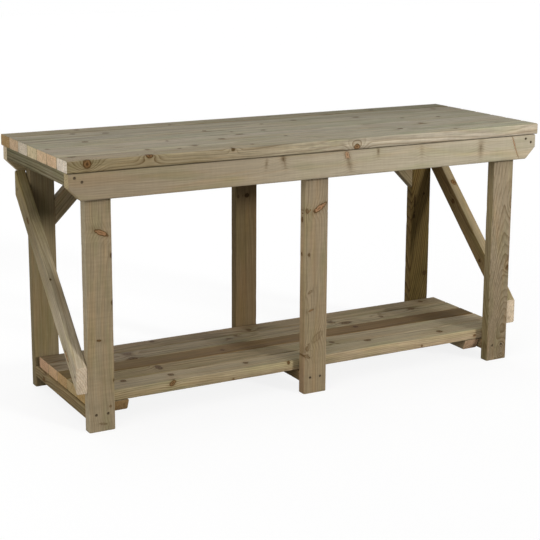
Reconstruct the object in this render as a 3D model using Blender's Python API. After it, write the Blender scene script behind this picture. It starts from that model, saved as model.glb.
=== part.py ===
"""Pressure-treated softwood workbench: a plank top on two aprons and six legs, with a drop-in lower shelf.

Metres, +Z up. X runs along the bench, the front faces -Y, and the origin is on the floor under its middle.
Each timber and each screw is its own object, and all the screws share one mesh.
"""
import math

import bmesh
import bpy
from mathutils import Matrix, Vector

# Timber stock, as planed
BOARD_WIDTH = 0.089
BOARD_THICKNESS = 0.038
SLIM_WIDTH = 0.063
RAIL_WIDTH = 0.063
RAIL_HEIGHT = 0.044
ARRIS_RADIUS = 0.0025
ARRIS_STEPS = 2
SMOOTH_ANGLE = math.radians(30)

# Clearance left between timbers that bear on each other
FIT_GAP = 0.0003
SAW_TOLERANCE = 1e-7

# Top
TOP_LENGTH = 1.800
TOP_BOARDS = 7
TOP_BOARD_GAP = 0.002
TOP_END_OVERHANG = 0.005
TOP_SIDE_OVERHANG = 0.005

# Legs and aprons
LEG_LENGTH = 0.850
APRON_CORNER_CUT = 0.042

# Lower shelf: a loose panel of boards on two battens, lying on the three bearers
BEARER_FLOOR_GAP = 0.038
SHELF_LENGTH = 1.670
SHELF_BOARDS = 5
SHELF_BOARD_GAP = 0.001
SHELF_SLIDE_RIGHT = 0.013
SHELF_SLIDE_FORWARD = 0.005
BATTEN_CLEARANCE = 0.004
BATTEN_UNDERCUT = 0.016

# Diagonal braces on the outer faces of the end legs
BRACE_FOOT_HEIGHT = 0.221
BRACE_FOOT_SETBACK = 0.007
BRACE_HEAD_LAP = 0.006

# Knee braces between the rear end legs and the rear apron
KNEE_ANGLE = math.radians(45)
KNEE_DROP = 0.189

# Countersunk wood screws, one size throughout
SCREW_LENGTH = 0.070
SCREW_TIP_LENGTH = 0.006
SHANK_RADIUS = 0.0025
HEAD_RADIUS = 0.00475
HEAD_HEIGHT = 0.003
SCREW_SINK = 0.0015
SKEW_SINK = 0.012
SCREW_SIDES = 8
DRILL_OVERRUN = 0.008

# Where the screws sit on the timbers
APRON_SCREW_SPREAD = 0.012
APRON_SCREW_STEP = 0.007
LEG_SCREW_SPREAD = 0.020
KNEE_HEAD_SCREW_RISE = 0.044
KNEE_FOOT_SCREW_RISE = 0.034

# Finishes: base colour, roughness, metallic
FINISHES = {
    "treated_softwood_top": ((0.270, 0.240, 0.170), 0.75, 0.0),
    "treated_softwood_frame": ((0.270, 0.215, 0.125), 0.75, 0.0),
    "treated_softwood_shelf": ((0.215, 0.170, 0.105), 0.75, 0.0),
    "heartwood_shelf_board": ((0.130, 0.085, 0.045), 0.75, 0.0),
    "coated_screw_steel": ((0.060, 0.045, 0.030), 0.45, 0.9),
}

# Places worked out from the sizes above
UP = Vector((0, 0, 1))
TOP_DEPTH = TOP_BOARDS * BOARD_WIDTH + (TOP_BOARDS - 1) * TOP_BOARD_GAP
FRAME_TOP = LEG_LENGTH - FIT_GAP
BENCH_HEIGHT = LEG_LENGTH + BOARD_THICKNESS
APRON_FACE = TOP_DEPTH / 2 - TOP_SIDE_OVERHANG
APRON_BACK = APRON_FACE - BOARD_THICKNESS
APRON_END = TOP_LENGTH / 2 - TOP_END_OVERHANG
APRON_BOTTOM = FRAME_TOP - BOARD_WIDTH
LEG_FACE = APRON_BACK - FIT_GAP
LEG_BACK = LEG_FACE - BOARD_THICKNESS
LEG_MIDDLE = LEG_FACE - BOARD_THICKNESS / 2
LEG_OUTSIDE = APRON_END - RAIL_WIDTH - FIT_GAP
LEG_INSIDE = LEG_OUTSIDE - BOARD_WIDTH
LEG_CENTRE = LEG_OUTSIDE - BOARD_WIDTH / 2
RAIL_CENTRE = APRON_END - RAIL_WIDTH / 2
BEARER_TOP = BEARER_FLOOR_GAP + BOARD_THICKNESS
SHELF_DEPTH = SHELF_BOARDS * BOARD_WIDTH + (SHELF_BOARDS - 1) * SHELF_BOARD_GAP
BATTEN_CENTRE = LEG_INSIDE - BATTEN_CLEARANCE - SLIM_WIDTH / 2
KNEE_WALL = LEG_INSIDE - FIT_GAP
KNEE_HALF_CUT = SLIM_WIDTH / 2 / math.cos(KNEE_ANGLE)
KNEE_FOOT = APRON_BOTTOM - KNEE_DROP + KNEE_HALF_CUT
SAW_WASTE = SLIM_WIDTH
SIDES = (("left", -1), ("right", 1))
LEG_PLACES = (("left", -LEG_CENTRE), ("middle", 0.0), ("right", LEG_CENTRE))
ENDS = (("front", -1), ("rear", 1))

# Drill plan: {timber: [(matrix, overrun) of each screw hole in it]}
drill_plan = {}


def clear_scene():
    """Start from an empty scene."""
    for old in list(bpy.data.objects):
        bpy.data.objects.remove(old)


def finish(name):
    """The Principled material of one finish, made once."""
    material = bpy.data.materials.get(name)
    if material:
        return material
    colour, roughness, metallic = FINISHES[name]
    material = bpy.data.materials.new(name)
    material.use_nodes = True
    shader = material.node_tree.nodes["Principled BSDF"]
    shader.inputs["Base Color"].default_value = (*colour, 1.0)
    shader.inputs["Roughness"].default_value = roughness
    shader.inputs["Metallic"].default_value = metallic
    return material


def add_object(name, mesh, matrix):
    """Link a mesh as a named object under the bench's empty."""
    mesh.shade_smooth()
    mesh.set_sharp_from_angle(angle=SMOOTH_ANGLE)
    item = bpy.data.objects.new(name, mesh)
    bpy.context.scene.collection.objects.link(item)
    item.parent = bench
    item.matrix_world = matrix
    return item


def eased_profile(width, thickness):
    """Rectangle width by thickness whose four arrises are eased by small arcs."""
    points = []
    for quarter, (side, face) in enumerate(((1, 1), (-1, 1), (-1, -1), (1, -1))):
        centre = Vector((side * (width / 2 - ARRIS_RADIUS), face * (thickness / 2 - ARRIS_RADIUS)))
        for step in range(ARRIS_STEPS + 1):
            angle = math.pi / 2 * (quarter + step / ARRIS_STEPS)
            points.append(centre + ARRIS_RADIUS * Vector((math.cos(angle), math.sin(angle))))
    return points


def cut_end(bm, point, normal):
    """Saw the solid at a plane, throw away what lies on the normal's side and close the cut."""
    everything = bm.verts[:] + bm.edges[:] + bm.faces[:]
    bmesh.ops.bisect_plane(bm, geom=everything, dist=SAW_TOLERANCE, plane_co=point, plane_no=normal,
                           clear_outer=True)
    rim = [edge for edge in bm.edges if edge.is_boundary]
    bmesh.ops.edgeloop_fill(bm, edges=rim)


def timber(name, length, width, thickness, centre, along, across, material, cuts=()):
    """One planed timber: length along one direction, width across it, with saw cuts given in world places."""
    along, across = Vector(along).normalized(), Vector(across).normalized()
    through = along.cross(across)
    matrix = Matrix.Translation(Vector(centre)) @ Matrix((along, across, through)).transposed().to_4x4()
    bm = bmesh.new()
    near = [bm.verts.new((-length / 2, p.x, p.y)) for p in eased_profile(width, thickness)]
    base = bm.faces.new(reversed(near))
    pushed = bmesh.ops.extrude_face_region(bm, geom=[base], use_keep_orig=True)["geom"]
    far = [item for item in pushed if isinstance(item, bmesh.types.BMVert)]
    bmesh.ops.translate(bm, verts=far, vec=(length, 0, 0))
    to_local = matrix.inverted()
    for point, normal in cuts:
        cut_end(bm, to_local @ Vector(point), to_local.to_3x3() @ Vector(normal))
    bmesh.ops.recalc_face_normals(bm, faces=bm.faces[:])
    mesh = bpy.data.meshes.new(name)
    bm.to_mesh(mesh)
    bm.free()
    mesh.materials.append(finish(material))
    return add_object(name, mesh, matrix)


def turned_solid(bm, matrix, profile):
    """A closed solid of revolution about local +Z from (radius, depth) points; the ends lie on the axis."""
    rings = []
    for radius, depth in profile:
        if radius == 0:
            rings.append([bm.verts.new(matrix @ Vector((0, 0, depth)))])
            continue
        turn = [2 * math.pi * side / SCREW_SIDES for side in range(SCREW_SIDES)]
        rings.append([bm.verts.new(matrix @ Vector((radius * math.cos(a), radius * math.sin(a), depth)))
                      for a in turn])
    for upper, lower in zip(rings, rings[1:]):
        for side in range(SCREW_SIDES):
            after = (side + 1) % SCREW_SIDES
            corners = [upper[side % len(upper)], upper[after % len(upper)],
                       lower[after % len(lower)], lower[side % len(lower)]]
            bm.faces.new(list(dict.fromkeys(corners)))


def screw_profile(grown=0.0, overrun=None):
    """Half outline of a countersunk screw, head first, or of its hole when grown and given an overrun."""
    tip = SCREW_LENGTH + 2 * grown
    neck = SCREW_LENGTH - SCREW_TIP_LENGTH
    head = HEAD_RADIUS + grown
    shank = SHANK_RADIUS + grown
    start = [(0, 0), (head, 0)] if overrun is None else [(0, -overrun), (head, -overrun), (head, 0)]
    return start + [(shank, HEAD_HEIGHT), (shank, neck), (0, tip)]


def make_screw_mesh():
    """The one screw mesh: head at the origin, shank along +Z."""
    bm = bmesh.new()
    turned_solid(bm, Matrix.Identity(4), screw_profile())
    bmesh.ops.recalc_face_normals(bm, faces=bm.faces[:])
    mesh = bpy.data.meshes.new("countersunk_screw")
    bm.to_mesh(mesh)
    bm.free()
    mesh.materials.append(finish("coated_screw_steel"))
    return mesh


def drive(name, point, direction, timbers, sink=SCREW_SINK):
    """Place one screw, entering a surface at a point, and plan its holes in the timbers that it passes."""
    direction = Vector(direction).normalized()
    turn = UP.rotation_difference(direction).to_matrix().to_4x4()
    matrix = Matrix.Translation(Vector(point) + direction * sink) @ turn
    add_object(name, screw_mesh, matrix)
    for timber_name in timbers:
        drill_plan.setdefault(timber_name, []).append((matrix, sink + DRILL_OVERRUN))


def make_top():
    """Seven boards laid flat, front to rear, on the aprons and rails."""
    pitch = BOARD_WIDTH + TOP_BOARD_GAP
    for number in range(TOP_BOARDS):
        y = (number - (TOP_BOARDS - 1) / 2) * pitch
        timber(f"top_board_{number + 1}", TOP_LENGTH, BOARD_WIDTH, BOARD_THICKNESS,
               (0, y, BENCH_HEIGHT - BOARD_THICKNESS / 2), (1, 0, 0), (0, 1, 0), "treated_softwood_top")


def make_aprons():
    """Front and rear boards on edge, with their lower corners sawn off at 45 degrees."""
    corner = APRON_END - APRON_CORNER_CUT
    for end, side in ENDS:
        cuts = [((sign * corner, 0, APRON_BOTTOM), (sign, 0, -1)) for _, sign in SIDES]
        timber(f"{end}_apron", 2 * APRON_END, BOARD_WIDTH, BOARD_THICKNESS,
               (0, side * (APRON_FACE - BOARD_THICKNESS / 2), FRAME_TOP - BOARD_WIDTH / 2),
               (1, 0, 0), (0, 0, 1), "treated_softwood_frame", cuts)


def make_top_rails():
    """Rails under the top: one at each end between the aprons, one between the tops of the middle legs."""
    for name, sign in SIDES:
        timber(f"{name}_end_rail", 2 * LEG_FACE, RAIL_WIDTH, RAIL_HEIGHT,
               (sign * RAIL_CENTRE, 0, FRAME_TOP - RAIL_HEIGHT / 2), (0, 1, 0), (1, 0, 0),
               "treated_softwood_frame")
    timber("middle_top_rail", 2 * (LEG_BACK - FIT_GAP), BOARD_WIDTH, BOARD_THICKNESS,
           (0, 0, FRAME_TOP - BOARD_THICKNESS / 2), (0, 1, 0), (1, 0, 0), "treated_softwood_frame")


def make_legs():
    """Six upright boards, wide face to the front, against the inner faces of the aprons."""
    for end, side in ENDS:
        for place, x in LEG_PLACES:
            timber(f"{end}_{place}_leg", FRAME_TOP, BOARD_WIDTH, BOARD_THICKNESS,
                   (x, side * LEG_MIDDLE, FRAME_TOP / 2), (0, 0, 1), (1, 0, 0),
                   "treated_softwood_frame")


def make_bearers():
    """Three boards laid flat between the front and rear legs, near the floor."""
    for place, x in LEG_PLACES:
        timber(f"{place}_bearer", 2 * (LEG_BACK - FIT_GAP), BOARD_WIDTH, BOARD_THICKNESS,
               (x, 0, BEARER_TOP - BOARD_THICKNESS / 2), (0, 1, 0), (1, 0, 0), "treated_softwood_frame")


def shelf_board_places():
    """Middle of each shelf board in Y, front to rear."""
    pitch = BOARD_WIDTH + SHELF_BOARD_GAP
    return [(number - (SHELF_BOARDS - 1) / 2) * pitch - SHELF_SLIDE_FORWARD for number in range(SHELF_BOARDS)]


def make_shelf():
    """Five boards on the bearers, the middle one dark heartwood, held by two battens with undercut ends."""
    for number, y in enumerate(shelf_board_places()):
        dark = number == SHELF_BOARDS // 2
        timber(f"shelf_board_{number + 1}", SHELF_LENGTH, BOARD_WIDTH, BOARD_THICKNESS,
               (SHELF_SLIDE_RIGHT, y, BEARER_TOP + FIT_GAP + BOARD_THICKNESS / 2), (1, 0, 0), (0, 1, 0),
               "heartwood_shelf_board" if dark else "treated_softwood_shelf")
    bottom = BEARER_TOP - BOARD_THICKNESS
    for name, sign in SIDES:
        cuts = [((0, end * (SHELF_DEPTH / 2 - BATTEN_UNDERCUT) - SHELF_SLIDE_FORWARD, bottom),
                 (0, end * BOARD_THICKNESS, -BATTEN_UNDERCUT)) for end in (-1, 1)]
        timber(f"{name}_shelf_batten", SHELF_DEPTH, SLIM_WIDTH, BOARD_THICKNESS,
               (sign * BATTEN_CENTRE, -SHELF_SLIDE_FORWARD, BEARER_TOP - BOARD_THICKNESS / 2),
               (0, 1, 0), (1, 0, 0), "treated_softwood_shelf", cuts)


def brace_line():
    """Foot and head of an end brace in (y, z), at the middle of its plumb-cut ends, and its direction.

    The head is flush with the rear leg's back, so that it butts on the rear apron and laps its lower edge.
    """
    foot_y = -(LEG_FACE - BRACE_FOOT_SETBACK)
    head_y = LEG_FACE
    head_height = APRON_BOTTOM + BRACE_HEAD_LAP
    upper_edge = Vector((head_y - foot_y, head_height - BRACE_FOOT_HEIGHT)).normalized()
    half_cut = SLIM_WIDTH / 2 / upper_edge.x
    foot = Vector((foot_y, BRACE_FOOT_HEIGHT - half_cut))
    head = Vector((head_y, head_height - half_cut))
    return foot, head, upper_edge


def make_end_braces():
    """A diagonal on each end, from the foot of the front leg up to the rear apron, with plumb-cut ends."""
    foot, head, slope = brace_line()
    middle = (foot + head) / 2
    for name, sign in SIDES:
        x = sign * (LEG_OUTSIDE + FIT_GAP + BOARD_THICKNESS / 2)
        cuts = [((0, foot.x, 0), (0, -1, 0)), ((0, head.x, 0), (0, 1, 0))]
        timber(f"{name}_end_brace", (head - foot).length + 2 * SAW_WASTE, SLIM_WIDTH, BOARD_THICKNESS,
               (x, middle.x, middle.y), (0, slope.x, slope.y), (0, -slope.y, slope.x),
               "treated_softwood_frame", cuts)


def knee_reach(height):
    """How far from the leg a knee brace's centre line is at a given height."""
    return (height - KNEE_FOOT) / math.tan(KNEE_ANGLE)


def make_knee_braces():
    """Short struts behind: plumb cut at the rear leg, level cut under the top, flat on the rear apron."""
    reach = knee_reach(FRAME_TOP)
    for name, sign in SIDES:
        slope = Vector((-sign * math.cos(KNEE_ANGLE), 0, math.sin(KNEE_ANGLE)))
        across = Vector((sign * math.sin(KNEE_ANGLE), 0, math.cos(KNEE_ANGLE)))
        middle = (sign * (KNEE_WALL - reach / 2), LEG_MIDDLE, (KNEE_FOOT + FRAME_TOP) / 2)
        cuts = [((sign * KNEE_WALL, 0, 0), (sign, 0, 0)), ((0, 0, FRAME_TOP), (0, 0, 1))]
        timber(f"rear_{name}_knee_brace", reach / math.cos(KNEE_ANGLE) + 2 * SAW_WASTE, SLIM_WIDTH,
               BOARD_THICKNESS, middle, slope, across, "treated_softwood_frame", cuts)


def drive_frame_screws():
    """Two screws from each apron end into the end rail, and two through each leg into its bearer."""
    rail_middle = FRAME_TOP - RAIL_HEIGHT / 2
    bearer_middle = BEARER_TOP - BOARD_THICKNESS / 2
    for end, side in ENDS:
        inward = (0, -side, 0)
        for number, step in ((1, -1), (2, 1)):
            for name, sign in SIDES:
                place = (sign * RAIL_CENTRE + step * APRON_SCREW_SPREAD, side * APRON_FACE,
                         rail_middle - step * APRON_SCREW_STEP)
                drive(f"{end}_{name}_apron_screw_{number}", place, inward,
                      (f"{end}_apron", f"{name}_end_rail"))
            for leg, x in LEG_PLACES:
                place = (x + step * LEG_SCREW_SPREAD, side * LEG_FACE, bearer_middle)
                drive(f"{end}_{leg}_bearer_screw_{number}", place, inward,
                      (f"{end}_{leg}_leg", f"{leg}_bearer"))


def drive_brace_screws():
    """One screw at the foot and one at the head of each end brace and knee brace."""
    foot, _, slope = brace_line()
    knee_tip = KNEE_FOOT - KNEE_HALF_CUT
    for name, sign in SIDES:
        outer = sign * (LEG_OUTSIDE + FIT_GAP + BOARD_THICKNESS)
        for spot, end, side in (("foot", "front", -1), ("head", "rear", 1)):
            y = side * LEG_MIDDLE
            z = foot.y + (y - foot.x) * slope.y / slope.x
            drive(f"{name}_brace_{spot}_screw", (outer, y, z), (-sign, 0, 0),
                  (f"{name}_end_brace", f"{end}_{name}_leg"))
        knee = f"rear_{name}_knee_brace"
        height = APRON_BOTTOM + KNEE_HEAD_SCREW_RISE
        drive(f"rear_{name}_knee_head_screw", (sign * (KNEE_WALL - knee_reach(height)), LEG_BACK, height),
              (0, 1, 0), (knee, "rear_apron"))
        entry = KNEE_WALL - KNEE_FOOT_SCREW_RISE / math.tan(KNEE_ANGLE)
        drive(f"rear_{name}_knee_foot_screw", (sign * entry, LEG_MIDDLE, knee_tip + KNEE_FOOT_SCREW_RISE),
              (sign, 0, 0), (knee, f"rear_{name}_leg"), SKEW_SINK)


def drill_holes():
    """Cut each timber's screw holes with one hidden cutter of grown screws."""
    for name, holes in drill_plan.items():
        bm = bmesh.new()
        for matrix, overrun in holes:
            turned_solid(bm, matrix, screw_profile(FIT_GAP, overrun))
        bmesh.ops.recalc_face_normals(bm, faces=bm.faces[:])
        mesh = bpy.data.meshes.new(f"{name}_drill")
        bm.to_mesh(mesh)
        bm.free()
        cutter = bpy.data.objects.new(f"{name}_drill", mesh)
        bpy.context.scene.collection.objects.link(cutter)
        cutter.hide_render = True
        cutter.display_type = "WIRE"
        cut = bpy.data.objects[name].modifiers.new("screw_holes", "BOOLEAN")
        cut.operation = "DIFFERENCE"
        cut.solver = "EXACT"
        cut.object = cutter


clear_scene()
bench = bpy.data.objects.new("workbench", None)
bpy.context.scene.collection.objects.link(bench)
make_top()
make_aprons()
make_top_rails()
make_legs()
make_bearers()
make_shelf()
make_end_braces()
make_knee_braces()
screw_mesh = make_screw_mesh()
drive_frame_screws()
drive_brace_screws()
drill_holes()
bpy.context.view_layer.update()
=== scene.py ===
"""Looks of a workbench in pressure-treated softwood: boards with growth rings and knots, and dark screws."""
import math
from collections import namedtuple

import bpy
import numpy as np
from mathutils import Matrix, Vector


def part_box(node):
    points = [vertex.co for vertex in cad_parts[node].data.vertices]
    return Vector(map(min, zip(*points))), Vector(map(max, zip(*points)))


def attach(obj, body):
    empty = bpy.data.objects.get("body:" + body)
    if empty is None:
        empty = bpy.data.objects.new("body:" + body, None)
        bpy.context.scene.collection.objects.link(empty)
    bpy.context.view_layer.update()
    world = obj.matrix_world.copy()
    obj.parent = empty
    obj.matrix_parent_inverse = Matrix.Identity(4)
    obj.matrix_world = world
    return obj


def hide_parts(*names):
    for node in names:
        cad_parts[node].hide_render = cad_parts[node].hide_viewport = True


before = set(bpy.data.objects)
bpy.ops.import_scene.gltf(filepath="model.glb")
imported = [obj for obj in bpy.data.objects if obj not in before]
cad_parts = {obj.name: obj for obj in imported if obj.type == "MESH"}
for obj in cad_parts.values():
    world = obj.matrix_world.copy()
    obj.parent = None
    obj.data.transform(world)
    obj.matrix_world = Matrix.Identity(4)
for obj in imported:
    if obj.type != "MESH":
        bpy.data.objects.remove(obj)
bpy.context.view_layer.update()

# Planed timber, in metres
ARRIS_RADIUS = 0.0050
FACE_STEP = 0.009
GRAIN_STEP = 0.009
END_BREAK = 0.0007
RIPPLE_DEPTH = 0.00008
RIPPLE_LENGTH = 0.19
NICK_DEPTH = 0.0011
NICK_SPACING = 0.22
NICK_SPANS = (0.004, 0.016)
APRON_CORNER_CUT = 0.042
APRON_DROP = 0.0022
BATTEN_UNDERCUT = 0.016
BRACE_WIDTH = 0.063

# Counts, shares and angles of the timbers
TOP_BOARDS = 7
SHELF_BOARDS = 5
ARRIS_STEPS = 5
ARRIS_SHARE = 0.2  # least share of both sides' directions on an arris
NICK_SHARES = (0.2, 1.0)
RIPPLE_TURN = 0.4  # radians from one point of a section to the next
SHARP_ANGLE = math.radians(40)

# Countersunk screws, in metres
HEAD_RADIUS = 0.00475
HEAD_FACE = 0.004275
HEAD_RIM = 0.0004
HEAD_HEIGHT = 0.0030
SHANK_RADIUS = 0.0025
TIP_RADIUS = 0.0004
SCREW_LENGTH = 0.070
SCREW_TIP = 0.006
SCREW_SINK = 0.0015
RECESS_RADIUS = 0.0024
RECESS_FLOOR = 0.0012
RECESS_LIP = 0.0003
RECESS_DEPTH = 0.0022
HOLE_CLEARANCE = 0.0003
HOLE_OVERRUN = 0.006

# Steps round a screw and its hole, and the four arms of the recess: waist as a share of the radius, sharpness
SCREW_TURN_STEPS = 32
HOLE_TURN_STEPS = 20
RECESS_WAIST = 0.45
RECESS_SHARPNESS = 4

# Screws out of sight, in metres
LEG_SCREW_HEIGHT = 0.805
LEG_SCREW_RISE = 0.016
LEG_SCREW_SIDE = 0.020
RAIL_SCREW_MARGIN = 0.025
RAIL_SCREW_REACH = 0.030
RAIL_SCREW_STAGGER = 0.006

# Growth of the timber, in millimetres
MM = 1000.0
GRAIN_SHIFT = 1370.0
KNOT_EDGE_DEPTH = 9.0
ARRIS_BAND = 5.0
FACE_BAND = 1.5
# Arrises are paler: partly worn, partly a painted highlight along them
ARRIS_WEAR_AND_HIGHLIGHT = 0.07  # paler by this share

# Knots, in their own radii: from where to where they bend the rings, how far out they stay whole, and by how
# much the distances to two knots differ where a point lies between them and where it lies in one alone
KNOT_START = 0.6
KNOT_REACH = 6.0
KNOT_WHOLE = 1.6
KNOT_PARTING = (1.25, 3.75)
KNOT_FAR = 2 * KNOT_REACH
# Their parts: where the halo starts and ends, the rim, the edge of the core, how much further a soft core
# fades and how ragged they are
KNOT_HALO = (0.9, 2.1)
KNOT_RIM = 0.90
KNOT_EDGE = 1.06
KNOT_FADE = 0.30
KNOT_RAGGED = 0.16
# Rings of the core, as a sine: radians in a knot radius and at its middle
CORE_RINGS = (7.8, -2.3)
# Heart of the core: how many times it goes into the knot's length and width
HEART_FIT = (2.2, 0.9, 0)

# Growth rings: how late in the year they darken (a power), where the dark starts to end, how dark it gets,
# the weakest and strongest year, and by what share they are stronger at a knot
LATEWOOD_POWER = 2.4
LATEWOOD_END = 0.88
LATEWOOD_PEAK = 1.2
YEARS = (0.45, 1.1)
NEAR_KNOT_RINGS = 1.0

# Patterns of the wood, in millimetres along and across the fibres. A waver also says how far it shifts the
# rings, a fibre how much darker and paler it makes the wood, and a blotch its tint
RING_WAVERS = ((420, 60, 16.0), (80, 12, 2.6), (24, 7, 0.8))
FIBRES = ((70, 1.6, -0.16, 0.14), (130, 3.2, -0.16, 0.13), (320, 7.0, -0.10, 0.09))
STREAKS = (700, 15)
CHATTER = (9, 60)
BLOTCHES = ((240, 45, (0.90, 0.94, 0.86)), (330, 30, (1.04, 0.98, 0.91)))
KNOT_TEARS = (9, 9)
# Patterns of the sawn ends, in millimetres: width of the pores with their darkest and palest shares, length
# and spacing of the saw lines, length of the drying checks. A radian round the pith holds so many checks
END_PORES = ((14, 0.86, 1.10), (3, 0.90, 1.08))
SAW_LINES = (50, 1.7)
CHECK_LENGTH = 45
CHECKS_IN_RADIAN = 5.0
# Wear of the screws, in spots on a millimetre
WEAR_SPOTS = 0.9

# Shares of a timber's own colour
EARLYWOOD = (1.07, 1.07, 1.06)
LATEWOOD = (0.52, 0.44, 0.34)
KNOT_SHADE = (0.66, 0.58, 0.46)
KNOT_BROWN = (0.27, 0.21, 0.13, 1)
KNOT_RED = (0.64, 0.41, 0.26, 1)
KNOT_ORANGE = (1.08, 0.75, 0.58, 1)
KNOT_HEART = (0.20, 0.11, 0.05)
KNOT_BARK = (0.26, 0.17, 0.09)
END_EARLYWOOD = (1.05, 1.05, 1.04)
END_LATEWOOD = (0.76, 0.68, 0.58)
END_CHECK = (0.30, 0.24, 0.17)

# Studio
AMBIENT = 0.26
# Lamps: irradiance, elevation and azimuth (0 is the front, positive to the right) and spread in degrees
LAMPS = {"key_softbox": (1.93, 17.0, 26.0, 9.0), "left_fill": (1.40, 14.0, -68.0, 50.0),
         "overhead_panel": (0.74, 88.0, 0.0, 120.0), "back_fill": (1.80, 8.0, 180.0, 60.0)}
# Floor, in metres, and its greys: what it throws back on the bench, what lamps show of it and its own glow
FLOOR_SIZE = 40.0
FLOOR_DROP = 0.0003
FLOOR_BOUNCE = 0.38
FLOOR_SHADE = 0.17
FLOOR_GLOW = 0.85
# Camera, in metres, degrees and millimetres
CAMERA_PLACE = (-2.2921, -4.1036, 1.5726)
CAMERA_YAW = 28.862
CAMERA_PITCH = 11.995
CAMERA_ROLL = 0.277
CAMERA_LENS = 90.13
CAMERA_SHIFT = -0.1

AXES = np.eye(3)
random = np.random.default_rng(41)

# A timber's place: middle, its three directions, its section and the planes that its ends are sawn on
Timber = namedtuple("Timber", "origin along across through width thickness starts ends")
# How it grew: colours of faces, upper face, narrow edges and ends, pith from the middle of the section, lean
# of the pith in mm per metre, wave of the pith (across, through, length), strength and width of its rings,
# strength of its broad streaks and of the planer chatter, knots
# Some of these colours hold painted shade and a painted sheen, as noted at the timbers
Growth = namedtuple("Growth", "tone upper edge end pith lean wave figure rings streak chatter knots")
# A knot, in millimetres: place along the timber, side it shows on, offset on that side, half length and half
# width. Then its warmth from 0 (dark) to 1 (orange), slant, strength (0 only bends the rings), how far the
# rings swirl round it, in knot sizes, and softness from 0 (a rimmed knot) to 1 (a stain that fades out)
Knot = namedtuple("Knot", "place side offset long wide warm slant strength swirl soft",
                  defaults=(0.08, 0.0, 1.0, 0.5, 0.0))
FACE, HIGH, LOW = "face", "high_edge", "low_edge"


# Meshes
def linear(colour):
    """Linear red, green and blue of an sRGB hex value such as 8d7d63."""
    parts = np.array([int(colour[i:i + 2], 16) for i in (0, 2, 4)]) / 255
    return np.where(parts <= 0.04045, parts / 12.92, ((parts + 0.055) / 1.055) ** 2.4)


def add_piece(name, points, faces, materials):
    """A mesh object at the origin, from points and faces."""
    mesh = bpy.data.meshes.new(name)
    mesh.from_pydata(points, [], faces)
    for material in materials:
        mesh.materials.append(material)
    piece = bpy.data.objects.new(name, mesh)
    bpy.context.scene.collection.objects.link(piece)
    return piece


def smooth(piece):
    """Smooth shading that keeps the sharp edges."""
    piece.data.shade_smooth()
    piece.data.set_sharp_from_angle(angle=SHARP_ANGLE)


def tube_faces(rows, columns):
    """Quads of a closed tube of rows rings with columns points each: each point, the next on its ring and the
    same two on the next ring. They face out where the rings run anticlockwise."""
    ring = np.arange(columns)
    nearer = np.arange(rows - 1)[:, None] * columns
    a = nearer + ring
    b = nearer + np.roll(ring, -1)
    return np.stack([a, b, b + columns, a + columns], axis=-1).reshape(-1, 4).tolist()


# Where the timbers lie
def straight_timber(node):
    """A timber that lies square in the bench: its longest side is its grain, its shortest its thickness."""
    low, high = np.array(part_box(node))
    size = high - low
    through, across, along = np.argsort(size)
    a, b = AXES[along], AXES[across]
    return Timber((low + high) / 2, a, b, np.cross(a, b), size[across], size[through],
                  [(low, -a)], [(high, a)])


def apron_timber(node):
    """An apron, whose upper edge stands a little below the top boards: each end is a square cut and a
    45 degree cut that takes the lower corner off."""
    timber = straight_timber(node)
    timber = timber._replace(origin=timber.origin - AXES[2] * APRON_DROP / 2, width=timber.width - APRON_DROP)
    low, high = np.array(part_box(node))
    left = low + AXES[0] * APRON_CORNER_CUT
    right = left + AXES[0] * (high[0] - low[0] - 2 * APRON_CORNER_CUT)
    timber.starts.append((left, -AXES[0] - AXES[2]))
    timber.ends.append((right, AXES[0] - AXES[2]))
    return timber


def batten_timber(node):
    """A shelf batten: its ends slope in towards the floor."""
    timber = straight_timber(node)
    low, high = np.array(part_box(node))
    slope = AXES[1] * timber.thickness
    drop = AXES[2] * BATTEN_UNDERCUT
    start = np.array([low[0], low[1], high[2]])
    return timber._replace(starts=[(start, -slope - drop)], ends=[(high, slope - drop)])


def brace_timber(node):
    """An end brace with plumb ends: run * tan + width / cos is its box's height, solved for the slope."""
    low, high = np.array(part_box(node))
    _, run, rise = high - low
    square = BRACE_WIDTH ** 2
    root = math.sqrt((run * rise) ** 2 - (run ** 2 - square) * (rise ** 2 - square))
    angle = math.atan((run * rise - root) / (run ** 2 - square))
    along = np.array([0, math.cos(angle), math.sin(angle)])
    across = np.array([0, -math.sin(angle), math.cos(angle)])
    return Timber((low + high) / 2, along, across, np.cross(along, across), BRACE_WIDTH, high[0] - low[0],
                  [(low, -AXES[1])], [(high, AXES[1])])


def knee_timber(node):
    """A knee brace at 45 degrees: plumb cut against the leg, level cut under the top."""
    low, high = np.array(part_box(node))
    side = 1 if low[0] > 0 else -1
    wall = high[0] if side > 0 else low[0]
    tip = low[0] if side > 0 else high[0]
    half_cut = BRACE_WIDTH * math.sqrt(0.5)
    depth = (low[1] + high[1]) / 2
    foot = np.array([wall, depth, low[2] + half_cut])
    head = np.array([tip + side * half_cut, depth, high[2]])
    along = (head - foot) / np.linalg.norm(head - foot)
    across = np.cross(AXES[1], along)
    return Timber((foot + head) / 2, along, across, np.cross(along, across), BRACE_WIDTH, high[1] - low[1],
                  [(foot, AXES[0] * side)], [(head, AXES[2])])


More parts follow.
